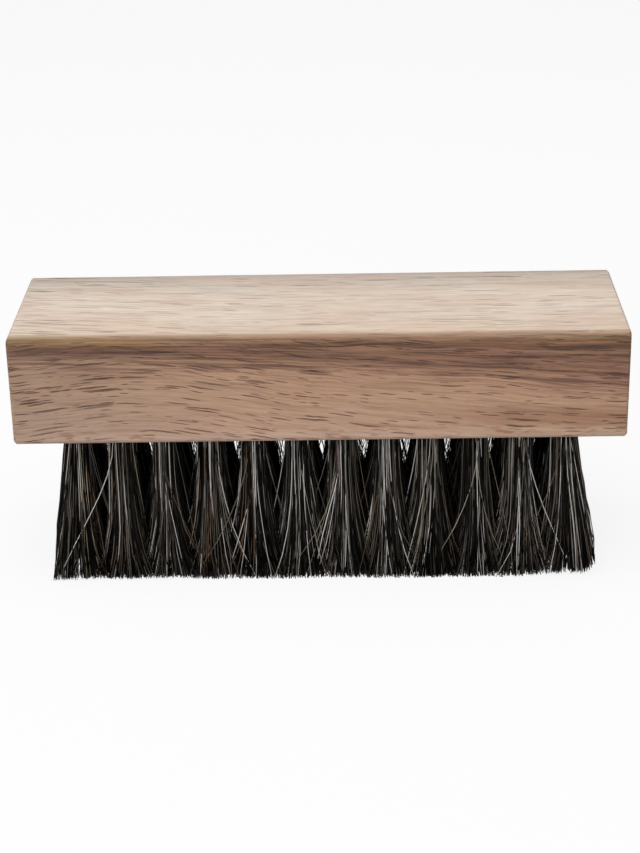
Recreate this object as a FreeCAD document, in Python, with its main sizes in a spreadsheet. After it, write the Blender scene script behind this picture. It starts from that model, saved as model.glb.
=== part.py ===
import FreeCAD, Part
import enum
import math
import os

import Sketcher

# Shoe shine brush.
# A rectangular hardwood block is drilled from below with a grid of flat-bottomed blind holes.
# Each hole holds one tuft of hair, folded in half over a short piece of flat wire, the anchor.
# The anchor is longer than the hole is wide: driven in from the mouth, it cuts two grooves up the wall
# and stays jammed in them, just short of the hole's end, with the fold of the tuft above it.
# Below the block each tuft spreads until it meets its neighbours, and all are trimmed to one plane.
#
# Frame: X runs along the block, Y across it, Z up.
# The origin is in the trim plane of the hair, under the middle of the block.

DOCUMENT = FreeCAD.newDocument("shoe_shine_brush")
SHEET = DOCUMENT.addObject("Spreadsheet::Sheet", "Sizes")

# Driving sizes: lengths in millimetres, angles in degrees, and counts
SIZES = {
    # The block
    "block_length": 130.0,
    "block_width": 40.0,
    "block_height": 24.0,
    "top_edge_radius": 1.5,
    "base_edge_radius": 1.2,
    "end_chamfer": 0.5,
    # The grid of holes: its margins from the block's faces to the outer centres, and the wood left between
    # neighbours at least
    "columns": 12,
    "rows": 4,
    "end_margin": 12.75,
    "side_margin": 6.95,
    "hole_wall": 2.7,
    "hole_depth": 13.0,
    # The tufts: flats round each one, its free length below the block, and its spread to each side there
    "tuft_flats": 8,
    "bristle_length": 32.5,
    "spread": 4.1,
    "tuft_gap": 0.3,
    "tuft_clearance": 0.05,
    # The anchors, turned away from the grain so that a row of them doesn't split the block, and the depth
    # that each end of one cuts into the wall of its hole
    "anchor_bite": 0.5,
    "anchor_thickness": 0.5,
    "anchor_height": 2.0,
    "anchor_turn": 45.0,
    "fold_thickness": 1.4,
    # How far a cut runs past what it cuts
    "cut_overrun": 1.0,
}

# Sizes worked out from the driving ones
FIRST_COLUMN = "(Sizes.end_margin - Sizes.block_length / 2)"
FIRST_ROW = "(Sizes.side_margin - Sizes.block_width / 2)"
COLUMN_PITCH = "((Sizes.block_length - 2 * Sizes.end_margin) / (Sizes.columns - 1))"
ROW_PITCH = "((Sizes.block_width - 2 * Sizes.side_margin) / (Sizes.rows - 1))"
BLOCK_MIDDLE = "Sizes.bristle_length + Sizes.block_height / 2"
HOLE_DIAMETER = f"(min({COLUMN_PITCH}; {ROW_PITCH}) - Sizes.hole_wall)"
STEM_RADIUS = f"({HOLE_DIAMETER} / 2 - Sizes.tuft_clearance)"
TIP_RADIUS = f"({STEM_RADIUS} + Sizes.spread / cos(180 / Sizes.tuft_flats))"
ANCHOR_LENGTH = f"({HOLE_DIAMETER} + 2 * Sizes.anchor_bite)"
ANCHOR_DEPTH = "(Sizes.hole_depth - Sizes.fold_thickness)"
ANCHOR_TOP = f"Sizes.bristle_length + {ANCHOR_DEPTH}"

# The room that a tuft has to each side of its middle: up to a neighbour, or free at the rim of the grid
ROOM_ALONG = f"({COLUMN_PITCH} - Sizes.tuft_gap) / 2"
ROOM_ACROSS = f"({ROW_PITCH} - Sizes.tuft_gap) / 2"
ROOM_FREE = f"{TIP_RADIUS} + Sizes.cut_overrun"

# The point at a sketch's own origin
ORIGIN = (-1, 1)
UP = FreeCAD.Vector(0, 0, 1)

# A pattern's mark for a step that keeps to its even pitch
EVEN_STEP = -1.0


class Point(enum.IntEnum):
    """The numbers by which a sketch knows the points of a curve."""

    START = 1
    END = 2
    CENTRE = 3


def fill_sheet():
    """Writes each driving size into a cell of its own, under its own alias."""
    for line, (alias, value) in enumerate(SIZES.items(), start=1):
        SHEET.set(f"A{line}", alias)
        SHEET.set(f"B{line}", str(value))
        SHEET.setAlias(f"B{line}", alias)
    DOCUMENT.recompute()


def value_of(expression):
    """The expression's present value, for drawings that bound dimensions then hold."""
    return float(SHEET.evalExpression(expression))


def new_body(label):
    body = DOCUMENT.addObject("PartDesign::Body", label)
    body.Label = label
    return body


def datum(body, role):
    """One of the body's own planes or axes."""
    return next(feature for feature in body.Origin.OriginFeatures if feature.Role == role)


def new_sketch(body, name, plane, at=None, turn=None):
    """A sketch on one of the body's planes.

    The expressions in at place its origin along the plane's own x, y and z,
    and the expression turn rotates it about the plane's normal.
    """
    sketch = body.newObject("Sketcher::SketchObject", f"{body.Label}_{name}")
    sketch.AttachmentSupport = [(datum(body, plane), "")]
    sketch.MapMode = "FlatFace"
    for axis, expression in (at or {}).items():
        sketch.setExpression(f"AttachmentOffset.Base.{axis}", expression)
    if turn:
        sketch.setExpression("AttachmentOffset.Rotation.Angle", turn)
    return sketch


def new_feature(body, kind, name, **properties):
    feature = body.newObject(f"PartDesign::{kind}", f"{body.Label}_{name}")
    for key, value in properties.items():
        setattr(feature, key, value)
    return feature


def constrain(sketch, *rule):
    sketch.addConstraint(Sketcher.Constraint(*rule))


def dimension(sketch, kind, *where, size):
    """Adds a dimension and binds it to an expression."""
    index = sketch.addConstraint(Sketcher.Constraint(kind, *where, value_of(size)))
    sketch.setExpression(f"Constraints[{index}]", size)


def draw_circle(sketch, radius, construction=False):
    """A circle about the sketch's origin."""
    circle = sketch.addGeometry(Part.Circle(FreeCAD.Vector(), UP, value_of(radius)), construction)
    constrain(sketch, "Coincident", circle, Point.CENTRE, *ORIGIN)
    dimension(sketch, "Radius", circle, size=radius)
    return circle


def draw_lines(sketch, corners):
    """Straight lines from corner to corner, closed. Returns the lines in that order."""
    points = [FreeCAD.Vector(x, y, 0) for x, y in corners]
    following = points[1:] + points[:1]
    lines = [sketch.addGeometry(Part.LineSegment(a, b)) for a, b in zip(points, following)]
    for line, after in zip(lines, lines[1:] + lines[:1]):
        constrain(sketch, "Coincident", line, Point.END, after, Point.START)
    return lines


def draw_rectangle(sketch, left, right, front, back):
    """An upright rectangle whose four sides each have their own distance from the sketch's origin."""
    x = (-value_of(left), value_of(right))
    y = (-value_of(front), value_of(back))
    sides = draw_lines(sketch, [(x[0], y[0]), (x[1], y[0]), (x[1], y[1]), (x[0], y[1])])
    front_side, right_side, back_side, left_side = sides
    for side in (front_side, back_side):
        constrain(sketch, "Horizontal", side)
    for side in (left_side, right_side):
        constrain(sketch, "Vertical", side)
    dimension(sketch, "DistanceX", left_side, Point.START, *ORIGIN, size=left)
    dimension(sketch, "DistanceX", *ORIGIN, right_side, Point.START, size=right)
    dimension(sketch, "DistanceY", front_side, Point.START, *ORIGIN, size=front)
    dimension(sketch, "DistanceY", *ORIGIN, back_side, Point.START, size=back)


def draw_centred_rectangle(sketch, width, height):
    draw_rectangle(sketch, f"{width} / 2", f"{width} / 2", f"{height} / 2", f"{height} / 2")


def draw_flats(sketch, radius):
    """A regular polygon inside a circle of the given radius, with one flat square to the x axis."""
    count = SIZES["tuft_flats"]
    step = 2 * math.pi / count
    r = value_of(radius)
    angles = [(n - 1 / 2) * step for n in range(count)]
    circle = draw_circle(sketch, radius, construction=True)
    flats = draw_lines(sketch, [(r * math.cos(a), r * math.sin(a)) for a in angles])
    for flat in flats:
        constrain(sketch, "PointOnObject", flat, Point.START, circle)
    for flat in flats[1:]:
        constrain(sketch, "Equal", flats[0], flat)
    constrain(sketch, "Vertical", flats[0])


def draw_anchor(sketch):
    """The anchor seen from above."""
    draw_centred_rectangle(sketch, ANCHOR_LENGTH, "Sizes.anchor_thickness")


def grid_pattern(body, *originals):
    """Repeats what was made at the first hole over the whole grid."""
    pattern = new_feature(
        body, "LinearPattern", "grid",
        Originals=list(originals),
        Direction=(datum(body, "X_Axis"), [""]),
        Direction2=(datum(body, "Y_Axis"), [""]),
        Mode="Spacing",
        Mode2="Spacing",
    )
    pattern.setExpression("Occurrences", "Sizes.columns")
    pattern.setExpression("Occurrences2", "Sizes.rows")
    pattern.setExpression("Offset", COLUMN_PITCH)
    pattern.setExpression("Offset2", ROW_PITCH)
    DOCUMENT.recompute()
    pattern.Spacings = [EVEN_STEP] * (pattern.Occurrences - 1)
    pattern.Spacings2 = [EVEN_STEP] * (pattern.Occurrences2 - 1)
    body.Tip = pattern
    DOCUMENT.recompute()
    return pattern


def ease_edges(body, kind, name, size, chosen):
    """Rounds or chamfers those edges of the body's present shape whose bounding box is chosen."""
    base = body.Tip
    edges = [f"Edge{n}" for n, edge in enumerate(base.Shape.Edges, start=1) if chosen(edge.BoundBox)]
    eased = new_feature(body, kind, name, Base=(base, edges))
    eased.setExpression({"Fillet": "Radius", "Chamfer": "Size"}[kind], size)
    DOCUMENT.recompute()


def check_cut(before, feature):
    """A cut that points the wrong way leaves the volume as it was."""
    if not feature.Shape.Volume < before.Shape.Volume:
        raise RuntimeError(f"{feature.Label} cuts nothing")


def make_block():
    """The hardwood block: rounded along the top, eased along the other edges, and drilled."""
    body = new_body("wooden_block")
    section = new_sketch(body, "section", "YZ_Plane", at={"y": BLOCK_MIDDLE})
    draw_centred_rectangle(section, "Sizes.block_width", "Sizes.block_height")
    bar = new_feature(body, "Pad", "bar", Profile=section, SideType="Symmetric")
    bar.setExpression("Length", "Sizes.block_length")
    DOCUMENT.recompute()

    middle = value_of(BLOCK_MIDDLE)
    half_length = value_of("Sizes.block_length / 2")
    ease_edges(body, "Fillet", "top_edges", "Sizes.top_edge_radius",
               lambda box: box.XLength > half_length and box.ZMin > middle)
    ease_edges(body, "Fillet", "base_edges", "Sizes.base_edge_radius",
               lambda box: box.XLength > half_length and box.ZMax < middle)
    ease_edges(body, "Chamfer", "end_edges", "Sizes.end_chamfer",
               lambda box: box.XLength < half_length)
    plain_block = body.Tip

    first = {"x": FIRST_COLUMN, "y": FIRST_ROW, "z": "Sizes.bristle_length"}
    mouth = new_sketch(body, "mouth", "XY_Plane", at=first)
    draw_circle(mouth, f"{HOLE_DIAMETER} / 2")
    DOCUMENT.recompute()
    hole = new_feature(
        body, "Hole", "hole",
        Profile=mouth,
        Reversed=True,
        Threaded=False,
        DepthType="Dimension",
        DrillPoint="Flat",
    )
    hole.setExpression("Diameter", HOLE_DIAMETER)
    hole.setExpression("Depth", "Sizes.hole_depth")
    DOCUMENT.recompute()
    check_cut(plain_block, hole)

    bite = new_sketch(body, "bite", "XY_Plane", at=first, turn="Sizes.anchor_turn")
    draw_anchor(bite)
    grooves = new_feature(body, "Pocket", "grooves", Profile=bite, Reversed=True)
    grooves.setExpression("Length", ANCHOR_DEPTH)
    DOCUMENT.recompute()
    check_cut(hole, grooves)

    grid = grid_pattern(body, hole, grooves)
    check_cut(grooves, grid)
    return body


def make_anchors():
    """The flat wire anchors, one across every hole."""
    body = new_body("tuft_anchors")
    body.AllowCompound = True
    first = {"x": FIRST_COLUMN, "y": FIRST_ROW, "z": ANCHOR_TOP}
    outline = new_sketch(body, "outline", "XY_Plane", at=first, turn="Sizes.anchor_turn")
    draw_anchor(outline)
    wire = new_feature(body, "Pad", "wire", Profile=outline, Reversed=True)
    wire.setExpression("Length", "Sizes.anchor_height")
    DOCUMENT.recompute()
    grid_pattern(body, wire)
    return body


def make_tuft(row, column):
    """One tuft: the folded end in its hole, and the free hair that spreads down to the trim plane."""
    body = new_body(f"tuft_row{row + 1}_{column + 1:02d}")
    body.setExpression("Placement.Base.x", f"{FIRST_COLUMN} + {column} * {COLUMN_PITCH}")
    body.setExpression("Placement.Base.y", f"{FIRST_ROW} + {row} * {ROW_PITCH}")

    mouth = new_sketch(body, "mouth", "XY_Plane", at={"z": "Sizes.bristle_length"})
    draw_flats(mouth, STEM_RADIUS)
    hair = new_feature(body, "Pad", "hair", Profile=mouth, Reversed=True)
    hair.setExpression("Length", "Sizes.bristle_length")
    DOCUMENT.recompute()
    faces = {f"Face{n}": face.BoundBox for n, face in enumerate(hair.Shape.Faces, start=1)}
    middle = value_of("Sizes.bristle_length / 2")
    sides = [name for name, box in faces.items() if box.ZMin < middle < box.ZMax]
    top = [name for name, box in faces.items() if box.ZMin > middle]
    fan = new_feature(body, "Draft", "fan", Base=(hair, sides), NeutralPlane=(hair, top))
    fan.setExpression("Angle", "atan(Sizes.spread / Sizes.bristle_length)")
    DOCUMENT.recompute()
    stem = new_feature(body, "Pad", "stem", Profile=mouth)
    stem.setExpression("Length", "Sizes.hole_depth")
    DOCUMENT.recompute()

    # The neighbours press flats onto the sides that face them
    surroundings = new_sketch(body, "surroundings", "XY_Plane")
    clear_of_tips = f"2 * ({ROOM_FREE} + Sizes.cut_overrun)"
    draw_centred_rectangle(surroundings, clear_of_tips, clear_of_tips)
    draw_rectangle(
        surroundings,
        left=ROOM_FREE if column == 0 else ROOM_ALONG,
        right=ROOM_FREE if column == SIZES["columns"] - 1 else ROOM_ALONG,
        front=ROOM_FREE if row == 0 else ROOM_ACROSS,
        back=ROOM_FREE if row == SIZES["rows"] - 1 else ROOM_ACROSS,
    )
    pressed = new_feature(body, "Pocket", "pressed", Profile=surroundings, Reversed=True)
    pressed.setExpression("Length", "Sizes.bristle_length")
    DOCUMENT.recompute()
    check_cut(stem, pressed)

    fold = new_sketch(body, "fold", "XY_Plane", at={"z": ANCHOR_TOP}, turn="Sizes.anchor_turn")
    draw_anchor(fold)
    slot = new_feature(body, "Pocket", "slot", Profile=fold)
    slot.setExpression("Length", "Sizes.anchor_height")
    DOCUMENT.recompute()
    check_cut(pressed, slot)
    return body


def write_parts(bodies):
    """Checks every object, then writes one file for each body."""
    DOCUMENT.recompute()
    for thing in DOCUMENT.Objects:
        if "Invalid" in thing.State or "Error" in thing.State:
            raise RuntimeError(f"{thing.Label} failed: {thing.State}")
    for body in bodies:
        if body.Shape.isNull() or not body.Shape.isValid():
            raise RuntimeError(f"{body.Label} has no valid shape")
    os.makedirs("parts", exist_ok=True)
    for body in bodies:
        body.Shape.exportStep(f"parts/{body.Label}.step")


fill_sheet()
BODIES = [make_block(), make_anchors()]
for ROW in range(SIZES["rows"]):
    for COLUMN in range(SIZES["columns"]):
        BODIES.append(make_tuft(ROW, COLUMN))
write_parts(BODIES)
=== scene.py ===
import math

import bpy
import numpy as np
from mathutils import Matrix, Vector


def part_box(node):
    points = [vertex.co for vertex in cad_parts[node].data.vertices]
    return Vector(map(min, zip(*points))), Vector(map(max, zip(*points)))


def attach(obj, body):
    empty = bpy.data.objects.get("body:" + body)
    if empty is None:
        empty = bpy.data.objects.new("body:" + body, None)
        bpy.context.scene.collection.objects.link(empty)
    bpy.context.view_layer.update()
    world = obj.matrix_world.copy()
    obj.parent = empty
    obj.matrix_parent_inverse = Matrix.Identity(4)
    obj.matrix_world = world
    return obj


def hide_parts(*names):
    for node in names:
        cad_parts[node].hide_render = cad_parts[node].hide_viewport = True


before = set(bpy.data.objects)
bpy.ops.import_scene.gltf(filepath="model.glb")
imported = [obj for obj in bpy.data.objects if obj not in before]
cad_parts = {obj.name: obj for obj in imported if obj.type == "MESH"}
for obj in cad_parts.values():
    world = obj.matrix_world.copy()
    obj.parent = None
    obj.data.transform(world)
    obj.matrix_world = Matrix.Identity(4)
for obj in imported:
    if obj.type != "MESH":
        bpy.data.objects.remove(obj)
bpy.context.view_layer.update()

# Shoe shine brush: a beech block, and a field of folded horsehair tufts in its underside.
# Its lengths are in millimetres up to the point where they go into Blender, which takes metres. Those of the
# floor and the lamps are in metres.
MM = 0.001


def box_of(name):
    """The lowest and the highest corner of a node's box."""
    return [[value / MM for value in corner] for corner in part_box(name)]


def middle_of(name):
    low, high = box_of(name)
    return [(a + b) / 2 for a, b in zip(low, high)]


# The block: its front and its underside, and its right end and its top
(_, FRONT, UNDERSIDE), (HALF_LENGTH, _, TOP) = box_of("wooden_block")

# The grid of tufts. One with neighbours on all sides is centred on its hole, so two of these give the pitch,
# here to the nearest micrometre.
COLUMNS, ROWS = 12, 4
NEAR, FAR = middle_of("tuft_row2_02"), middle_of("tuft_row3_11")
COLUMN_PITCH = round((FAR[0] - NEAR[0]) / (COLUMNS - 3), 3)
ROW_PITCH = round((FAR[1] - NEAR[1]) / (ROWS - 3), 3)

# The bundle inside a hole, and how its anchor is turned
BUNDLE_RADIUS = 2.78
ANCHOR_TURN = math.radians(45)

# The folded hairs of a tuft at the rim of the field and of one inside it
RIM_HAIRS, INNER_HAIRS = 640, 200
SEED = 20611

# The two limbs of a folded hair leave their hole on both sides of the anchor. In parts of the bundle's
# radius: half of the anchor's gap, how far limbs lie beyond it at most, and their scatter
HALF_GAP, LIMB_SPREAD, LIMB_SCATTER = 0.12, 0.86, 0.05

# Least angle between the anchor and a limb's place in the bundle, in radians
LEAST_ANGLE = 0.08

# Hairs crowd toward the outside of their bundle, and toward a free side of the field, by this power
CROWDING = 0.42

# The least reach of a tuft's tips along and across the block
LEAN_ALONG, LEAN_ACROSS = 6.4, 6.0

# The clumps in each half of a tuft, and the greatest part of the way that tips draw together in them
CLUMPS, CLUMP_PULL = 24, 0.15

# The limits of the field of tips to the left and right, and to the front and back, where the right half
# gains some depth per length
TIPS_LEFT, TIPS_RIGHT = -58.7, 59.2
TIPS_DEPTH, DEPTH_GAIN = 20.4, 0.012

# A hair flares with a power of the way to its tip: toward a free side, as a stray, as a wild hair, and where
# neighbours hold it in, which they do more from some way off the middle of the field toward its ends
FREE_FLARE, STRAY_FLARE, WILD_FLARE = 1.1, 1.2, 1.8
HELD_FLARE, HELD_FLARE_GAIN = 2.6, 1.4
HELD_GAIN_FROM, HELD_GAIN_OVER = 15.0, 30.0

# Shares of the hairs that are loose, stray, wild or broken
LOOSE, STRAY, WILD, BROKEN = 0.15, 0.045, 0.007, 0.12

# Scatter along and across the block: of most tips, loose ones and strays, of the bend in most hairs and in
# strays, and of the ripple in a hair
TIP_SCATTER, LOOSE_SCATTER, STRAY_SCATTER = (0.75, 0.5), (2.2, 0.7), (2.6, 0.8)
BEND_SCATTER, STRAY_BEND_SCATTER, RIPPLE_SCATTER = (0.45, 0.75), (0.9, 0.9), (0.14, 0.25)

# Wild hairs lie across their neighbours: how far along the block, how far out from the tuft's middle, how
# much they bend, as a part of the first and outward, and how far above the trim they end at most.
# They come from the outer part of the bundle, beyond this part of its radius.
WILD_REACH, WILD_OUT = (3.5, 10.0), 7.2
WILD_BEND, WILD_BEND_OUT = (-0.15, 0.25), 0.6
WILD_RISE = 6.0
WILD_FROM = 0.35

# The trim: its least height, its rise per length toward the left, and the scatter of single hairs
LEAST_HEIGHT, LEFT_RISE, TRIM_SCATTER = 0.02, 0.009, 0.10

# Rises of the trim toward the right end: where each starts, over what length, how much, and by what power
RIGHT_RISES = ((42.0, 7.0, 0.7, 1), (55.0, 4.2, 2.3, 3))

# Waves in the trim: height, length and phase of a slow one, and height of a quick one with its lengths along
# and across the block. Lengths are per radian.
SLOW_WAVE, SLOW_LENGTH, SLOW_PHASE = 0.14, 6.1, 0.9
QUICK_WAVE, QUICK_ALONG, QUICK_ACROSS = 0.12, 2.7, 4.0

# The waves' strength in the middle, the length to the right that lowers it by 1, and its limits
WAVE_STRENGTH, WAVE_FADE, WAVE_LIMITS = 0.6, 100.0, (0.2, 1.0)

# What broken hairs lack on average and at most
BROKEN_MEAN, BROKEN_MOST = 2.2, 9.0

# How far the tufts of each row bow outward at the left end of the field, from where on, and over what length
ROW_BOWS = (0.0, 0.0, 0.6, 1.2)
BOW_FROM, BOW_OVER = -28.0, 18.0

# Places along a limb, from its tip to the mouth of its hole, and the forms of its bend, ripple and bow there
STEPS = np.array([1.0, 0.82, 0.64, 0.46, 0.30, 0.15, 0.0])
BEND_SHAPE = STEPS ** 2 * (1 - STEPS) * 4.0
RIPPLE_SHAPE = np.sin(2 * math.pi * STEPS)
BOW_SHAPE = STEPS * (1 - STEPS) * 4.0

# Inside its hole a limb runs straight between these distances from the mouth and from the top of the fold.
# Over the anchor the outermost hairs come this close to the top of the fold, and inner ones lie lower by up
# to this much.
HELD_FROM_MOUTH, HELD_FROM_FOLD = 5.0, 1.6
FOLD_GAP, WRAP_DEPTH = 0.1, 1.05

# Thickness of the hairs: its mean, scatter and limits, factors for the light hairs and for the palest of
# them, and the part of it that is lost toward the tips
GIRTH, GIRTH_SCATTER, GIRTH_LIMITS = 0.175, 0.026, (0.12, 0.25)
LIGHT_GIRTH, PALEST_GIRTH = 0.80, 1.36
TAPER = 0.08

# A hair is a tube of three sides. Its corners are off its axis by this part of the thickness: more than
# half, because three sides that fit into a round hair would look too thin.
TUBE_SIDES = 3
CORNER_SHARE = 0.58

# Brightness of the surround as light, of the floor as light and as seen, and the part of the last that glows
SURROUND_LIGHT = 0.42
FLOOR_LIGHT, FLOOR_SEEN, FLOOR_GLOW = 0.40, 0.95, 0.86


def rgba(r, g, b):
    return (r, g, b, 1.0)


def grey(value):
    return rgba(value, value, value)


class Graph:
    """The node tree of a material or a world, with nodes added by type and inputs set or linked by name."""

    def __init__(self, owner):
        self.owner = owner
        owner.use_nodes = True
        self.tree = owner.node_tree
        self.tree.nodes.clear()

    def add(self, kind, inputs=None, **properties):
        node = self.tree.nodes.new(kind)
        for key, value in properties.items():
            setattr(node, key, value)
        for key, value in (inputs or {}).items():
            if isinstance(value, bpy.types.NodeSocket):
                self.tree.links.new(value, node.inputs[key])
            else:
                node.inputs[key].default_value = value
        return node

    def math(self, operation, *values, clamp=False):
        node = self.add("ShaderNodeMath", dict(enumerate(values)), operation=operation, use_clamp=clamp)
        return node.outputs[0]

    def vector(self, operation, *values):
        return self.add("ShaderNodeVectorMath", dict(enumerate(values)), operation=operation).outputs[0]

    def scaled(self, vector, factor):
        return self.add("ShaderNodeVectorMath", {0: vector, "Scale": factor}, operation="SCALE").outputs[0]

    def over(self, vector, size):
        """The vector counted in a size along each axis."""
        return self.vector("MULTIPLY", vector, tuple(1 / s for s in size))

    def split(self, vector):
        return self.add("ShaderNodeSeparateXYZ", {0: vector}).outputs

    def join(self, x=0.0, y=0.0, z=0.0):
        return self.add("ShaderNodeCombineXYZ", {0: x, 1: y, 2: z}).outputs[0]

    def apart(self, a, b):
        return self.math("ABSOLUTE", self.math("SUBTRACT", a, b))

    def noise(self, vector, size, detail=2.0, roughness=0.5, output="Fac"):
        """Noise with lumps of about the given size along each axis."""
        node = self.add("ShaderNodeTexNoise", {
            "Vector": self.over(vector, size), "Scale": 1.0, "Detail": detail, "Roughness": roughness,
        })
        return node.outputs[output]

    def wander(self, vector, size, reach):
        """A shift that changes slowly, by up to half of reach each way along each axis."""
        lumps = self.noise(vector, size, detail=1.0, output="Color")
        return self.vector("MULTIPLY", self.vector("SUBTRACT", lumps, (0.5, 0.5, 0.5)), reach)

    def ramp(self, factor, stops, interpolation="LINEAR"):
        node = self.add("ShaderNodeValToRGB", {"Fac": factor})
        band = node.color_ramp
        band.interpolation = interpolation
        while len(band.elements) < len(stops):
            band.elements.new(1.0)
        for element, (position, colour) in zip(band.elements, stops):
            element.position = position
            element.color = (*colour, 1.0)
        return node.outputs["Color"]

    def spread(self, value, low, high, to_low=0.0, to_high=1.0, smooth=False):
        """Maps low..high to to_low..to_high, held at both ends."""
        node = self.add(
            "ShaderNodeMapRange",
            {"Value": value, "From Min": low, "From Max": high, "To Min": to_low, "To Max": to_high},
            interpolation_type="SMOOTHSTEP" if smooth else "LINEAR", clamp=True)
        return node.outputs["Result"]

    def between(self, share, a, b):
        return self.spread(share, 0.0, 1.0, a, b)

    def mix(self, factor, a, b, blend="MIX"):
        node = self.add("ShaderNodeMix", {0: factor, 6: a, 7: b}, data_type="RGBA", blend_type=blend)
        return node.outputs[2]

    def finish(self, shader, output="ShaderNodeOutputMaterial"):
        self.add(output, {"Surface": shader})
        return self.owner


# Height of the grain along the block: it climbs from the left end, then falls away to the right
GRAIN_RISE = (
    (-65, 0.0), (-50, 2.2), (-38, 2.9), (-25, 1.2), (-10, -1.6), (10, -4.6), (40, -7.4), (65, -9.0),
)

# The dark band along the top of the front: its height in the middle of the block, and how that grows with x
# and with x squared. Rings are counted from its lower edge up, and one of them is 1 mm high in the middle.
BAND_HEIGHT, BAND_GROWTH, BAND_CURVE = 7.0, 0.0633, 0.000417

# How far the rings fall per length toward the back
RING_DIP = 0.36

# Colours of the inner wood, and the rings between which they change
HEART_RINGS = -20.0, 12.0
HEART = (
    (0.00, (0.760, 0.500, 0.360)),
    (0.16, (0.740, 0.485, 0.345)),
    (0.31, (0.700, 0.445, 0.300)),
    (0.47, (0.680, 0.430, 0.282)),
    (0.53, (0.640, 0.392, 0.255)),
    (0.58, (0.560, 0.332, 0.213)),
    (0.625, (0.440, 0.252, 0.158)),
    (0.66, (0.325, 0.178, 0.106)),
    (0.69, (0.270, 0.135, 0.079)),
    (0.75, (0.270, 0.138, 0.081)),
    (0.80, (0.275, 0.142, 0.070)),
    (0.84, (0.250, 0.130, 0.056)),
    (1.00, (0.250, 0.138, 0.064)),
)

# Where the pale outer wood ends on top: its place in the middle of the block, its slope along the block, and
# how far back it moves per height below the top
SAP_LINE, SAP_SLOPE, SAP_LEAN = -17.8, -0.009, 2.78

# How soft that end is, on most faces and on the block's two ends, and what is added per height below the top
SAP_BLURS, SAP_BLUR_GAIN = (1.15, 9.0), 0.85

# Colours of the pale outer wood, and the depths between which they change
SAP_DEPTHS = -17.0, 19.0
SAP = (
    (0.0, (0.785, 0.640, 0.505)),
    (0.35, (0.810, 0.690, 0.572)),
    (0.6, (0.805, 0.686, 0.568)),
    (0.75, (0.700, 0.600, 0.500)),
    (0.9, (0.600, 0.516, 0.432)),
    (1.0, (0.480, 0.410, 0.342)),
)

# Sets of ray flecks: length and girth of the cell that each one grows in, its least and greatest size as a
# part of that cell, the share of cells that have one, and its strength on upright faces and on flat ones
FLECKS = (
    (11.0, 0.58, 0.17, 0.38, 0.70, 1.00, 0.10),
    (6.0, 0.50, 0.16, 0.34, 0.45, 0.90, 0.10),
    (14.0, 0.80, 0.10, 0.28, 0.95, 0.15, 0.80),
    (42.0, 0.75, 0.08, 0.26, 1.00, 0.00, 0.75),
)


def grain_places(g, point, x, flat):
    """Where a point lies in the wavy grain, without and with the turns that the grain takes along the block.

    The grain arches where it shows on the upright faces, and slants a little on the left of the flat ones.
    """
    lowest = min(rise for _, rise in GRAIN_RISE)
    climb = max(rise for _, rise in GRAIN_RISE) - lowest
    stops = [
        ((at + HALF_LENGTH) / (2 * HALF_LENGTH), ((rise - lowest) / climb,) * 3)
        for at, rise in GRAIN_RISE
    ]
    arch = g.math("MULTIPLY", g.ramp(g.spread(x, -HALF_LENGTH, HALF_LENGTH), stops, "B_SPLINE"), climb)
    arch = g.math("MULTIPLY", arch, g.math("SUBTRACT", 1.0, flat))
    left_part = g.math("MINIMUM", g.math("ADD", x, 15.0), 0.0)
    slant = g.math("MULTIPLY", left_part, g.math("MULTIPLY", flat, -0.12))
    slow = g.wander(point, (34, 26, 12), (0.0, 0.9, 2.0))
    quick = g.wander(point, (13, 9, 5), (0.0, 0.3, 1.1))
    wavy = g.vector("ADD", point, g.vector("ADD", slow, quick))
    return wavy, g.vector("SUBTRACT", wavy, g.join(y=slant, z=arch))


def ring_number(g, x, from_front, wavy_z):
    """Which ring a point is in. The rings fall toward the back, and stand further apart to the right."""
    band = g.math("MULTIPLY_ADD", g.math("MULTIPLY_ADD", x, BAND_CURVE, BAND_GROWTH), x, BAND_HEIGHT)
    from_top = g.math("MULTIPLY_ADD", from_front, RING_DIP, g.math("SUBTRACT", wavy_z, TOP))
    above = g.math("ADD", from_top, band)
    fanned = g.math("DIVIDE", g.math("MULTIPLY", g.math("MAXIMUM", above, 0.0), BAND_HEIGHT), band)
    return g.math("ADD", g.math("MINIMUM", above, 0.0), fanned)


def heartwood(g, x, z, wavy_z, ring):
    """The darker inner wood, which shows on the upright faces and along the front edge."""
    colour = g.ramp(g.spread(ring, *HEART_RINGS), HEART)

    # Toward each end a tan rind tops the dark band, over a dark vein
    rightward = g.spread(x, 8.0, 42.0, smooth=True)
    leftward = g.spread(x, -44.0, -26.0, 1.0, 0.0, smooth=True)
    for side, rind_from, shade, vein_at in (
        (rightward, 5.7, rgba(0.300, 0.185, 0.090), 5.05),
        (leftward, 3.7, rgba(0.300, 0.160, 0.042), 2.9),
    ):
        rind = g.math("MULTIPLY", side, g.spread(ring, rind_from, rind_from + 1.0, smooth=True))
        colour = g.mix(rind, colour, shade)
        vein = g.math("MULTIPLY", side, g.spread(g.apart(ring, vein_at), 0.2, 0.7, 0.75, 0.0))
        colour = g.mix(vein, colour, rgba(0.45, 0.36, 0.32), "MULTIPLY")

    # A darker streak low on the right, a cooler left part, and a pale lower edge
    from_streak = g.apart(wavy_z, g.math("MULTIPLY_ADD", x, -0.03, UNDERSIDE + 6.8))
    streak = g.math("MULTIPLY", g.spread(x, 20.0, 44.0, smooth=True),
                    g.spread(from_streak, 0.6, 3.0, 0.9, 0.0, smooth=True))
    colour = g.mix(streak, colour, rgba(0.68, 0.58, 0.52), "MULTIPLY")
    colour = g.mix(g.spread(x, -60.0, -16.0, 1.0, 0.0), colour, rgba(0.80, 0.86, 0.91), "MULTIPLY")
    lower_edge = g.spread(z, UNDERSIDE + 0.7, UNDERSIDE + 3.0, 0.45, 0.0)
    return g.mix(lower_edge, colour, rgba(0.80, 0.62, 0.50))


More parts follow.
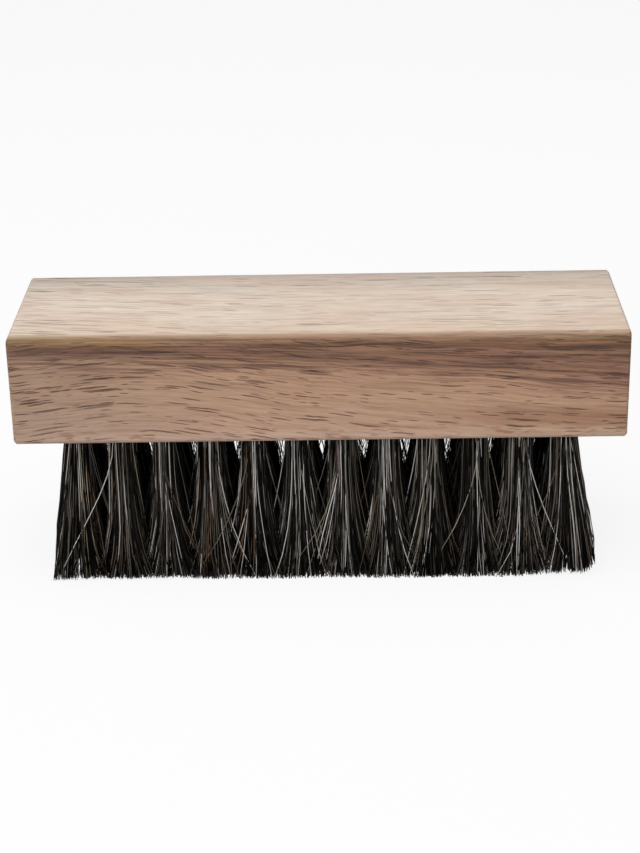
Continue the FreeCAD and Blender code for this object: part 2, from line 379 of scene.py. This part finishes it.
def add_sapwood(g, colour, x, y, z, wavy_y, flat, end):
    """The pale outer wood, which ends in a soft tan line along the top, close to its front edge."""
    sap = g.mix(flat, rgba(0.640, 0.545, 0.455), g.ramp(g.spread(y, *SAP_DEPTHS), SAP))
    line = g.math("MULTIPLY_ADD", x, SAP_SLOPE, SAP_LINE)
    off = g.math("SUBTRACT", g.math("MULTIPLY_ADD", g.math("SUBTRACT", z, TOP), SAP_LEAN, wavy_y), line)
    blur = g.math("MULTIPLY_ADD", g.math("SUBTRACT", TOP, z), SAP_BLUR_GAIN, g.between(end, *SAP_BLURS))
    pale = g.spread(g.math("DIVIDE", off, blur), -2.5, 0.75, smooth=True)
    tan = g.spread(g.apart(pale, 0.45), 0.0, 0.45, 0.9, 0.0)
    return g.mix(tan, g.mix(pale, colour, sap), rgba(0.93, 0.83, 0.71), "MULTIPLY")


def add_growth_lines(g, colour, x, from_front, ring, flat):
    """Growth lines: dark and thin in the band at the upper edge, faint elsewhere, straight on flat faces."""
    straight = g.math("MULTIPLY_ADD", from_front, RING_DIP, BAND_HEIGHT)
    seen = g.math("MULTIPLY_ADD", g.math("SUBTRACT", straight, ring), flat, ring)
    lines = g.noise(g.join(x=x, z=seen), (30, 1, 1 / 1.7), detail=6.0, roughness=0.74)
    banded = g.math("MULTIPLY", g.spread(ring, -3.5, 0.5), g.spread(ring, 5.8, 7.2, 1.0, 0.0))
    dark_lines = g.math("MULTIPLY", g.spread(lines, 0.50, 0.57), g.between(banded, 0.22, 1.0))
    colour = g.mix(dark_lines, colour, rgba(0.28, 0.23, 0.215), "MULTIPLY")
    light_lines = g.math("MULTIPLY", g.spread(lines, 0.40, 0.49, 1.0, 0.0), banded)
    return g.mix(light_lines, colour, rgba(1.48, 1.52, 1.54), "MULTIPLY")


def add_fibres(g, colour, grain, flat):
    """Slow changes of tone, streaks that are fainter on the flat faces, and fibres.

    Returns the colour with all of these in it, and the fibres.
    """
    tone = g.noise(grain, (24, 6, 4.5))
    colour = g.mix(g.spread(tone, 0.35, 0.65), colour, g.mix(0.20, colour, rgba(0.60, 0.30, 0.21)))
    streaks = g.noise(grain, (28, 1 / 1.6, 1 / 1.6), detail=3.0, roughness=0.6)
    streaky = g.math("MULTIPLY", g.spread(streaks, 0.46, 0.66), g.between(flat, 0.65, 0.35))
    colour = g.mix(streaky, colour, rgba(0.74, 0.71, 0.68), "MULTIPLY")
    fibres = g.noise(grain, (7, 1 / 3, 1 / 3), detail=4.0, roughness=0.7)
    colour = g.mix(g.spread(fibres, 0.38, 0.72, 0.0, 0.5), colour, rgba(0.60, 0.52, 0.46), "MULTIPLY")
    return colour, fibres


def add_flecks(g, colour, point, x, grain, flat):
    """Ray flecks: short and bold where the rays are cut across, long and faint on top.

    Returns the colour with the flecks in it, and how deep they are.
    """
    crook = g.scaled(g.wander(point, (2.4, 4, 4), (0.0, 0.3, 0.3)), g.between(flat, 1.0, 0.3))
    rays = g.vector("ADD", grain, crook)
    crowd = g.spread(x, -62.0, -5.0, 1.28, 1.02)
    depth = 0.0
    for length, girth, least, greatest, share, on_side, on_flat in FLECKS:
        cells = g.add("ShaderNodeTexVoronoi", {
            "Vector": g.over(rays, (length, girth, girth)), "Scale": 1.0, "Randomness": 1.0,
        })
        chance = g.split(cells.outputs["Color"])
        size = g.math("MULTIPLY", g.between(chance[0], least, greatest), crowd)
        inside = g.math("DIVIDE", cells.outputs["Distance"], size)
        strength = g.math("MULTIPLY", g.between(chance[1], 0.6, 1.0), g.between(flat, on_side, on_flat))
        strength = g.math("MULTIPLY", strength, g.math("LESS_THAN", chance[2], share))
        fleck = g.math("MULTIPLY", g.spread(inside, 0.75, 1.05, 1.0, 0.0, smooth=True), strength)
        colour = g.mix(fleck, colour, rgba(0.25, 0.18, 0.15), "MULTIPLY")
        depth = g.math("MAXIMUM", depth, fleck)
    return colour, depth


def beech():
    """Flat-sawn beech: rings that fan out along the block, fine fibres, and short dark ray flecks."""
    g = Graph(bpy.data.materials.new("beech"))
    coordinates = g.add("ShaderNodeTexCoord").outputs
    point = g.over(coordinates["Object"], (MM, MM, MM))
    x, y, z = g.split(point)
    facing = g.split(coordinates["Normal"])
    flat = g.spread(g.math("ABSOLUTE", facing[2]), 0.5, 0.9)
    end = g.spread(g.math("ABSOLUTE", facing[0]), 0.8, 0.95)

    wavy, grain = grain_places(g, point, x, flat)
    _, wavy_y, wavy_z = g.split(wavy)
    from_front = g.math("SUBTRACT", wavy_y, FRONT)
    ring = ring_number(g, x, from_front, wavy_z)
    colour = heartwood(g, x, z, wavy_z, ring)
    colour = add_sapwood(g, colour, x, y, z, wavy_y, flat, end)
    colour = add_growth_lines(g, colour, x, from_front, ring, flat)
    colour, fibres = add_fibres(g, colour, grain, flat)
    colour, flecks = add_flecks(g, colour, point, x, grain, flat)

    # Reddish marks along the lower edges of the upright faces
    low_down = g.spread(z, UNDERSIDE + 1.7, UNDERSIDE + 4.3, 0.85, 0.0)
    low_down = g.math("MULTIPLY", low_down, g.math("SUBTRACT", 1.0, flat))
    marks = g.spread(g.noise(point, (4.5, 3, 1.1), detail=3.0), 0.56, 0.66)
    colour = g.mix(g.math("MULTIPLY", marks, low_down), colour, rgba(0.72, 0.52, 0.44), "MULTIPLY")

    # End grain drinks more finish and looks darker
    colour = g.mix(g.math("MULTIPLY", end, 0.8), colour, rgba(0.72, 0.66, 0.60), "MULTIPLY")

    relief = g.math("SUBTRACT", g.math("MULTIPLY", fibres, 0.5), flecks)
    bump = g.add("ShaderNodeBump", {"Strength": 0.4, "Distance": 0.12 * MM, "Height": relief})
    shader = g.add("ShaderNodeBsdfPrincipled", {
        "Base Color": colour,
        "Roughness": g.spread(fibres, 0.3, 0.8, 0.46, 0.60),
        "Normal": bump.outputs[0],
    })
    return g.finish(shader.outputs[0])


def steel():
    """Flat galvanised wire, drawn along its length."""
    g = Graph(bpy.data.materials.new("anchor_wire"))
    place = g.over(g.add("ShaderNodeTexCoord").outputs["Object"], (MM, MM, MM))
    turned = g.add("ShaderNodeMapping", {"Vector": place, "Rotation": (0.0, 0.0, -ANCHOR_TURN)}).outputs[0]
    drawn = g.noise(turned, (1 / 0.3, 1 / 9, 1 / 9), detail=3.0)
    bloom = g.noise(turned, (1 / 0.9, 1 / 0.9, 1 / 0.9))
    colour = g.mix(g.spread(bloom, 0.4, 0.65), rgba(0.52, 0.52, 0.53), rgba(0.40, 0.40, 0.42))
    bump = g.add("ShaderNodeBump", {"Strength": 0.2, "Distance": 0.02 * MM, "Height": drawn})
    shader = g.add("ShaderNodeBsdfPrincipled", {
        "Base Color": colour,
        "Metallic": 1.0,
        "Roughness": g.spread(drawn, 0.3, 0.7, 0.28, 0.45),
        "Normal": bump.outputs[0],
    })
    return g.finish(shader.outputs[0])


# Colours of single hairs and how often each one comes: mostly black and dark brown,
# then greyer and browner ones, and a few that are blond or white
HAIR_COLOURS = [
    ((0.0015, 0.0015, 0.0016), 36.0),
    ((0.004, 0.0035, 0.0035), 13.0),
    ((0.006, 0.007, 0.009), 5.0),
    ((0.016, 0.013, 0.011), 9.0),
    ((0.045, 0.038, 0.031), 12.0),
    ((0.104, 0.103, 0.102), 11.0),
    ((0.240, 0.216, 0.186), 11.8),
    ((0.250, 0.190, 0.140), 5.0),
    ((0.415, 0.380, 0.332), 5.6),
    ((0.360, 0.230, 0.145), 2.2),
    ((0.575, 0.530, 0.470), 3.0),
    ((0.715, 0.660, 0.585), 1.5),
    ((0.680, 0.570, 0.410), 0.9),
    ((0.840, 0.815, 0.780), 0.60),
    ((0.920, 0.895, 0.855), 0.48),
    ((0.960, 0.945, 0.920), 0.62),
]

COMMONNESS = np.array([often for _, often in HAIR_COLOURS])

# Hairs brighter than this count as light
LIGHT_FROM = 0.03
IS_LIGHT = np.array([max(colour) > LIGHT_FROM for colour, _ in HAIR_COLOURS])

# Where in the list the pale colours begin, which wild hairs have, and the palest ones
FIRST_PALE, FIRST_PALEST = 8, 13

# How common light hairs are in a tuft: the least and the greatest factor
LIGHT_SHARE = 0.46, 0.96

# Which point of a limb tells how far outside in its tuft a hair lies, and the scatter that is added to it
LOOKED_AT, PLACE_SCATTER = 4, 1.2


def horsehair():
    """Natural horsehair. Across its map a hair takes one of the colours, and along it the shade drifts.
    Midway along, a painted sheen lifts the dark hairs.
    """
    g = Graph(bpy.data.materials.new("horsehair"))
    where = g.add("ShaderNodeUVMap", uv_map="OFBake").outputs[0]
    across, along, _ = g.split(where)
    count = len(HAIR_COLOURS)
    stops = [(n / count, colour) for n, (colour, _) in enumerate(HAIR_COLOURS)]
    colour = g.ramp(across, stops, "CONSTANT")
    drift = g.noise(where, (1 / (count * 3), 1 / 7, 1), detail=3.0)
    drab = g.spread(across, 0.74, 0.84, 1.0, 0.2)
    dull = g.math("MULTIPLY", g.spread(drift, 0.3, 0.7, 0.0, 0.5), drab)
    colour = g.mix(dull, colour, rgba(0.45, 0.42, 0.40), "MULTIPLY")
    # Darker toward the tips, much less so on the palest hairs
    tip_darkening = g.math("MULTIPLY", g.spread(along, 0.45, 1.0, 0.0, 0.85), drab)
    colour = g.mix(tip_darkening, colour, rgba(0.55, 0.50, 0.45), "MULTIPLY")
    # Painted sheen: a little light is added to the colour midway along every hair, and it shows on the dark
    # ones
    painted_sheen = g.spread(g.apart(along, 0.66), 0.06, 0.26, 1.0, 0.0)
    colour = g.mix(painted_sheen, colour, rgba(0.0080, 0.0075, 0.0066), "ADD")
    shader = g.add("ShaderNodeBsdfPrincipled", {
        "Base Color": colour,
        "Roughness": 0.40,
        "Specular IOR Level": 0.04,
    })
    return g.finish(shader.outputs[0])


def place_tips(draw, spot, centre, reach, free, outward):
    """Ends the limbs that leave their hole at the given spots.

    Returns the tips as seen from above, which of them lean to a free side, which are strays, which are wild,
    and how far a wild one lies across its neighbours.
    """
    # The tips fill a square, a little in clumps and closer together along a free side
    hairs = len(spot)
    size = np.linalg.norm(spot, axis=1)
    square = spot * (size / np.maximum(1e-6, np.abs(spot).max(axis=1)))[:, None]
    toward = np.where(square < 0, (0, 2), (1, 3))
    on_free = np.array(free)[toward]
    tip = np.sign(square) * np.abs(square) ** np.where(on_free, CROWDING, 1.0) * np.array(reach)[toward]
    heads = tip[draw.integers(0, hairs, CLUMPS)]
    nearest = np.argmin(np.linalg.norm(tip[:, None] - heads[None], axis=2), axis=1)
    tip += CLUMP_PULL * (heads[nearest] - tip) * draw.uniform(0.0, 1.0, (hairs, 1))
    loose = draw.uniform(0.0, 1.0, hairs) < LOOSE
    tip += draw.normal(0.0, 1.0, (hairs, 2)) * np.where(loose[:, None], LOOSE_SCATTER, TIP_SCATTER)

    # Strays, and a few wild hairs that lie across their neighbours
    stray = draw.uniform(0.0, 1.0, hairs) < STRAY
    tip += stray[:, None] * draw.normal(0.0, 1.0, (hairs, 2)) * STRAY_SCATTER
    wild = (draw.uniform(0.0, 1.0, hairs) < WILD) & (spot[:, 1] * outward > WILD_FROM)
    across = draw.choice([-1.0, 1.0], hairs) * draw.uniform(*WILD_REACH, hairs)
    tip[:, 0] += wild * across
    tip[wild, 1] = outward * WILD_OUT

    depth = TIPS_DEPTH + DEPTH_GAIN * np.maximum(0.0, tip[:, 0] + centre[0])
    tip = np.stack([
        np.clip(tip[:, 0] + centre[0], TIPS_LEFT, TIPS_RIGHT),
        np.clip(tip[:, 1] + centre[1], -depth, depth),
    ], axis=1)
    return tip, on_free, stray, wild, across


def trim(draw, tip, wild):
    """Heights of the tips: level but for small differences, broken or wild hairs, and rises at the ends."""
    hairs = len(tip)
    x, y = tip.T
    low = LEAST_HEIGHT + LEFT_RISE * np.maximum(0.0, -x) + np.abs(draw.normal(0.0, TRIM_SCATTER, hairs))

    # Slow and quick waves, fainter to the right
    waves = SLOW_WAVE * np.sin(x / SLOW_LENGTH + SLOW_PHASE)
    waves += QUICK_WAVE * np.sin(x / QUICK_ALONG + y / QUICK_ACROSS)
    low += waves * np.clip(WAVE_STRENGTH - x / WAVE_FADE, *WAVE_LIMITS)
    for start, length, rise, power in RIGHT_RISES:
        low += rise * np.clip((x - start) / length, 0.0, 1.0) ** power
    broken = draw.uniform(0.0, 1.0, hairs) < BROKEN
    low += broken * np.minimum(draw.exponential(BROKEN_MEAN, hairs), BROKEN_MOST)
    low += wild * draw.uniform(0.0, WILD_RISE, hairs)
    return np.maximum(low, LEAST_HEIGHT)


def limb_paths(draw, spot, centre, reach, free, outward, bow, fold):
    """Points along the limbs that leave their hole at the given spots, from tip to just below the fold.

    The points are counted from the tuft's centre. The second result marks the wild limbs.
    """
    hairs = len(spot)
    tip, on_free, stray, wild, across = place_tips(draw, spot, centre, reach, free, outward)
    low = trim(draw, tip, wild)

    # From the hole a hair flares to its tip, with a bend and a ripple of its own
    bend = draw.normal(0.0, 1.0, (hairs, 2)) * np.where(stray[:, None], STRAY_BEND_SCATTER, BEND_SCATTER)
    bend[:, 0] += wild * across * draw.uniform(*WILD_BEND, hairs)
    bend[wild, 1] = outward * WILD_BEND_OUT
    ripple = draw.normal(0.0, 1.0, (hairs, 2)) * RIPPLE_SCATTER
    toward_end = np.clip((abs(centre[0]) - HELD_GAIN_FROM) / HELD_GAIN_OVER, 0.0, 1.0)
    held_flare = HELD_FLARE + HELD_FLARE_GAIN * toward_end
    power = np.select([stray, wild], [STRAY_FLARE, WILD_FLARE], held_flare)
    flare = STEPS[None, :, None] ** np.where(on_free, FREE_FLARE, power[:, None])[:, None]
    root = spot * BUNDLE_RADIUS
    path = root[:, None] + (tip - centre - root)[:, None] * flare
    path += bend[:, None] * BEND_SHAPE[None, :, None]
    path += ripple[:, None] * RIPPLE_SHAPE[None, :, None]
    path[:, :, 0] += bow * BOW_SHAPE[None]
    height = UNDERSIDE + (low[:, None] - UNDERSIDE) * STEPS[None]
    free_part = np.concatenate([path, height[:, :, None]], axis=2)

    # In the hole it runs straight up
    held_at = np.array([UNDERSIDE + HELD_FROM_MOUTH, fold - HELD_FROM_FOLD])
    held_part = np.concatenate([
        np.repeat(root[:, None], len(held_at), axis=1),
        np.broadcast_to(held_at[None, :, None], (hairs, len(held_at), 1)),
    ], axis=2)
    return np.concatenate([free_part, held_part], axis=1), wild


def tuft_paths(draw, hairs, centre, reach, free, outward, bow, fold):
    """Points along the folded hairs of a tuft, from tip to tip over the anchor, by hair, point and axis.

    reach holds how far the tips go to the left, right, front and back of the centre, and free which of these
    sides have no neighbour. outward is the side that wild hairs lie on: front (-1), back (1) or none (0).
    bow is how far the tuft bows along the block between its hole and its tips, and fold is the height of the
    top of the fold. The second result marks the wild hairs.
    """
    # Where the two limbs of each hair leave the hole, in parts of the bundle's radius
    radius = draw.uniform(0.0, 1.0, hairs) ** CROWDING
    angle = draw.uniform(LEAST_ANGLE, math.pi - LEAST_ANGLE, hairs)
    along = radius * np.cos(angle)
    aside = HALF_GAP + LIMB_SPREAD * radius * np.sin(angle)
    cosine, sine = math.cos(ANCHOR_TURN), math.sin(ANCHOR_TURN)
    turn = np.array([[cosine, sine], [-sine, cosine]])
    limbs = []
    any_wild = np.zeros(hairs, dtype=bool)
    for side in (1.0, -1.0):
        spot = np.stack([along, side * aside], axis=1) + draw.normal(0.0, LIMB_SCATTER, (hairs, 2))
        spot /= np.maximum(1.0, np.linalg.norm(spot, axis=1))[:, None]
        limb, wild = limb_paths(draw, spot @ turn, centre, reach, free, outward, bow, fold)
        limbs.append(limb)
        any_wild |= wild

    # Over the anchor, the outer hairs wrap round the inner ones
    first, second = limbs
    over = (first[:, -1] + second[:, -1]) / 2
    over[:, 2] = fold - FOLD_GAP - WRAP_DEPTH * (1.0 - aside)
    points = np.concatenate([first, over[:, None], second[:, ::-1]], axis=1)
    points[:, :, :2] += centre
    return points, any_wild


def tube_corners(points, radius, to_tip):
    """Corners round every point of the hairs, as rows of xyz. The tubes get thinner toward their tips."""
    tangent = np.gradient(points, axis=1)
    tangent /= np.linalg.norm(tangent, axis=2, keepdims=True)
    anchor = np.array([math.cos(ANCHOR_TURN), math.sin(ANCHOR_TURN), 0.0])
    one = anchor - tangent * (tangent @ anchor)[:, :, None]
    one /= np.linalg.norm(one, axis=2, keepdims=True)
    two = np.cross(tangent, one)
    girth = radius[:, None] * (1.0 - TAPER * to_tip ** 3)[None]
    corners = []
    for n in range(TUBE_SIDES):
        angle = 2 * math.pi * n / TUBE_SIDES
        corners.append(points + girth[:, :, None] * (math.cos(angle) * one + math.sin(angle) * two))
    return np.stack(corners, axis=2).reshape(-1, 3)


def tube_faces(hairs, rings):
    """Which corners the tubes' sides have, in rows of four, and which their ends have, in rows of three."""
    start = (np.arange(hairs) * rings * TUBE_SIDES)[:, None, None]
    ring = start + (np.arange(rings - 1) * TUBE_SIDES)[None, :, None]
    side = np.arange(TUBE_SIDES)[None, None, :]
    after = (side + 1) % TUBE_SIDES
    sides = np.stack(np.broadcast_arrays(
        ring + side, ring + after, ring + TUBE_SIDES + after, ring + TUBE_SIDES + side), axis=3)
    base = np.arange(hairs)[:, None] * rings * TUBE_SIDES
    ends = np.concatenate([base + [2, 1, 0], base + (rings - 1) * TUBE_SIDES + [0, 1, 2]])
    return sides.reshape(-1, 4), ends


def tube_map(shade, to_tip):
    """Places on the map for the corners of all faces, in the order of tube_faces.

    Every colour has its strip of the map. In it each side of a hair has its own part, from near the fold to
    near the tips, and each end has a small triangle beyond these.
    """
    strip = 1.0 / len(HAIR_COLOURS)
    start = shade * strip
    edges = np.array([0.15, 0.38, 0.62, 0.85]) * strip
    left = start[:, None, None] + edges[:-1][None, None, :]
    right = start[:, None, None] + edges[1:][None, None, :]
    far = 0.02 + 0.95 * to_tip
    here = far[:-1][None, :, None]
    beyond = far[1:][None, :, None]
    around = (left, here), (right, here), (right, beyond), (left, beyond)
    sides = np.stack([np.stack(np.broadcast_arrays(*at), axis=3) for at in around], axis=3)
    triangle = np.array([[0.2, 0.975], [0.8, 0.975], [0.5, 0.995]]) * (strip, 1.0)
    ends = triangle[None] + np.stack([start, np.zeros(len(shade))], axis=1)[:, None]
    return np.concatenate([sides.reshape(-1, 2), ends.reshape(-1, 2), ends.reshape(-1, 2)])


def hair_mesh(name, points, radius, shade):
    """Closed tubes along the points, as one mesh, with each hair on its own colour's strip of the map."""
    hairs, rings, _ = points.shape
    to_tip = np.abs(np.linspace(-1.0, 1.0, rings))
    corners = tube_corners(points, radius, to_tip)
    sides, ends = tube_faces(hairs, rings)
    loops = np.concatenate([sides.ravel(), ends.ravel()])
    sizes = np.concatenate([np.full(len(sides), 4), np.full(len(ends), 3)])

    mesh = bpy.data.meshes.new(name)
    mesh.vertices.add(len(corners))
    mesh.vertices.foreach_set("co", (corners * MM).ravel())
    mesh.loops.add(len(loops))
    mesh.loops.foreach_set("vertex_index", loops.astype(np.int32))
    mesh.polygons.add(len(sizes))
    mesh.polygons.foreach_set("loop_start", np.concatenate([[0], np.cumsum(sizes)[:-1]]).astype(np.int32))
    mesh.polygons.foreach_set("use_smooth", np.ones(len(sizes), dtype=bool))
    layer = mesh.uv_layers.new(name="OFBake")
    layer.data.foreach_set("uv", tube_map(shade, to_tip).ravel())
    mesh.update(calc_edges=True)
    mesh.validate()
    return mesh


def pale_outside(draw, shade, points, outward):
    """Deals the shades out again so that the palest hairs of a front or back tuft lie on its outer side."""
    if not outward:
        return shade
    place = np.maximum(points[:, LOOKED_AT, 1] * outward, points[:, -1 - LOOKED_AT, 1] * outward)
    order = np.argsort(place + draw.normal(0.0, PLACE_SCATTER, len(shade)))
    pale = shade >= FIRST_PALEST
    inner = len(shade) - pale.sum()
    dealt = np.empty_like(shade)
    dealt[order[:inner]] = shade[~pale]
    dealt[order[inner:]] = shade[pale]
    return dealt


def hair_shades(draw, points, wild, outward):
    """Each hair's place in the list of colours. Light ones are more common in some tufts than in others."""
    weights = COMMONNESS * np.where(IS_LIGHT, draw.uniform(*LIGHT_SHARE), 1.0)
    shade = draw.choice(len(HAIR_COLOURS), len(points), p=weights / weights.sum())
    shade = pale_outside(draw, shade, points, outward)
    return np.where(wild, draw.choice(range(FIRST_PALE, len(HAIR_COLOURS)), len(points)), shade)


def hair_radii(draw, shade):
    """How far the corners of each tube are from its axis."""
    girth = np.clip(draw.normal(GIRTH, GIRTH_SCATTER, len(shade)), *GIRTH_LIMITS)
    girth = girth * np.where(IS_LIGHT[shade], LIGHT_GIRTH, 1.0)
    return CORNER_SHARE * girth * np.where(shade >= FIRST_PALEST, PALEST_GIRTH, 1.0)


def make_tuft(row, column, material):
    """One tuft of folded hairs, in the place of its solid."""
    mark = f"row{row + 1}_{column + 1:02d}"
    low, high = box_of(f"tuft_{mark}")
    x = (column - (COLUMNS - 1) / 2) * COLUMN_PITCH
    y = (row - (ROWS - 1) / 2) * ROW_PITCH
    reach = (
        max(LEAN_ALONG, x - low[0]),
        max(LEAN_ALONG, high[0] - x),
        max(LEAN_ACROSS, y - low[1] + DEPTH_GAIN * max(0.0, x)),
        max(LEAN_ACROSS, high[1] - y),
    )
    free = (column == 0, column == COLUMNS - 1, row == 0, row == ROWS - 1)
    outward = free[3] - free[2]
    bow = ROW_BOWS[row] * np.clip((x - BOW_FROM) / BOW_OVER, -1.0, 0.0)
    draw = np.random.default_rng(SEED + row * COLUMNS + column)
    hairs = RIM_HAIRS if any(free) else INNER_HAIRS
    points, wild = tuft_paths(draw, hairs, np.array([x, y]), reach, free, outward, bow, high[2])
    shade = hair_shades(draw, points, wild, outward)
    radius = hair_radii(draw, shade)

    name = f"bristles_{mark}"
    hair = bpy.data.objects.new(name, hair_mesh(name, points, radius, shade))
    bpy.context.scene.collection.objects.link(hair)
    hair.data.materials.append(material)
    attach(hair, "root")
    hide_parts(f"tuft_{mark}")


def seen_directly(g):
    """1 for rays that show a surface itself or its mirror image, 0 for those that only carry light."""
    path = g.add("ShaderNodeLightPath").outputs
    mirrored = g.math("ADD", path["Is Camera Ray"], path["Is Glossy Ray"])
    return g.math("ADD", mirrored, path["Is Transmission Ray"], clamp=True)


def make_floor():
    """White paper, which gives back less light than it shows so that the brush keeps its own shading."""
    g = Graph(bpy.data.materials.new("floor_white"))
    direct = seen_directly(g)
    paper = g.add("ShaderNodeBsdfDiffuse", {"Color": g.mix(direct, grey(FLOOR_LIGHT), grey(FLOOR_SEEN))})
    glow = g.add("ShaderNodeEmission", {"Color": grey(1.0), "Strength": 1.0})
    surface = g.add("ShaderNodeMixShader", {
        0: g.math("MULTIPLY", direct, FLOOR_GLOW), 1: paper.outputs[0], 2: glow.outputs[0],
    })

    # A square sheet, in metres
    half = 3.0
    mesh = bpy.data.meshes.new("floor")
    corners = [(-half, -half, 0), (half, -half, 0), (half, half, 0), (-half, half, 0)]
    mesh.from_pydata(corners, [], [(0, 1, 2, 3)])
    mesh.materials.append(g.finish(surface.outputs[0]))
    floor = bpy.data.objects.new("floor", mesh)
    bpy.context.scene.collection.objects.link(floor)


def make_world():
    """An even white surround, which gives less light than it shows."""
    g = Graph(bpy.data.worlds.new("studio"))
    strength = g.between(seen_directly(g), SURROUND_LIGHT, 1.0)
    sky = g.add("ShaderNodeBackground", {"Color": grey(1.0), "Strength": strength})
    bpy.context.scene.world = g.finish(sky.outputs[0], "ShaderNodeOutputWorld")


def add_lamp(name, place, target, size, watts):
    """A round soft lamp, placed and sized in metres."""
    lamp = bpy.data.lights.new(name, "AREA")
    lamp.shape = "DISK"
    lamp.size = size
    lamp.energy = watts
    thing = bpy.data.objects.new(name, lamp)
    thing.location = place
    thing.rotation_euler = (Vector(target) - Vector(place)).to_track_quat("-Z", "Y").to_euler()
    bpy.context.scene.collection.objects.link(thing)


def add_camera():
    """The photograph's view, from a camera fitted to the block's corners."""
    yaw, rise, roll = (math.radians(angle) for angle in (0.883, 23.714, -1.118))
    distance = 443.9
    focal_pixels, frame_pixels = 1998.4, 640
    target = Vector((-0.221, 0.0, 27.276))
    back = Vector((math.sin(yaw) * math.cos(rise), -math.cos(yaw) * math.cos(rise), math.sin(rise)))
    level = Vector((math.cos(yaw), math.sin(yaw), 0.0))
    over = back.cross(level)
    right = math.cos(roll) * level + math.sin(roll) * over
    up = -math.sin(roll) * level + math.cos(roll) * over
    lens = bpy.data.cameras.new("camera")
    lens.sensor_fit = "HORIZONTAL"
    lens.sensor_width = 36.0
    lens.lens = focal_pixels / frame_pixels * lens.sensor_width
    lens.clip_start = 0.01
    camera = bpy.data.objects.new("camera", lens)
    axes = Matrix((right, up, back)).transposed().to_4x4()
    camera.matrix_world = Matrix.Translation((target + back * distance) * MM) @ axes
    bpy.context.scene.collection.objects.link(camera)
    bpy.context.scene.camera = camera


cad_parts["wooden_block"].material_slots[0].material = beech()
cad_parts["tuft_anchors"].material_slots[0].material = steel()
bristle = horsehair()
for row in range(ROWS):
    for column in range(COLUMNS):
        make_tuft(row, column, bristle)
make_floor()
make_world()
add_lamp("overhead", place=(-0.10, -0.10, 0.75), target=(0.0, 0.0, 0.04), size=0.6, watts=2.9)
add_lamp("front", place=(-0.25, -0.95, 0.45), target=(0.0, 0.0, 0.03), size=0.5, watts=2.6)
add_camera()
bpy.context.scene.view_settings.view_transform = "Standard"
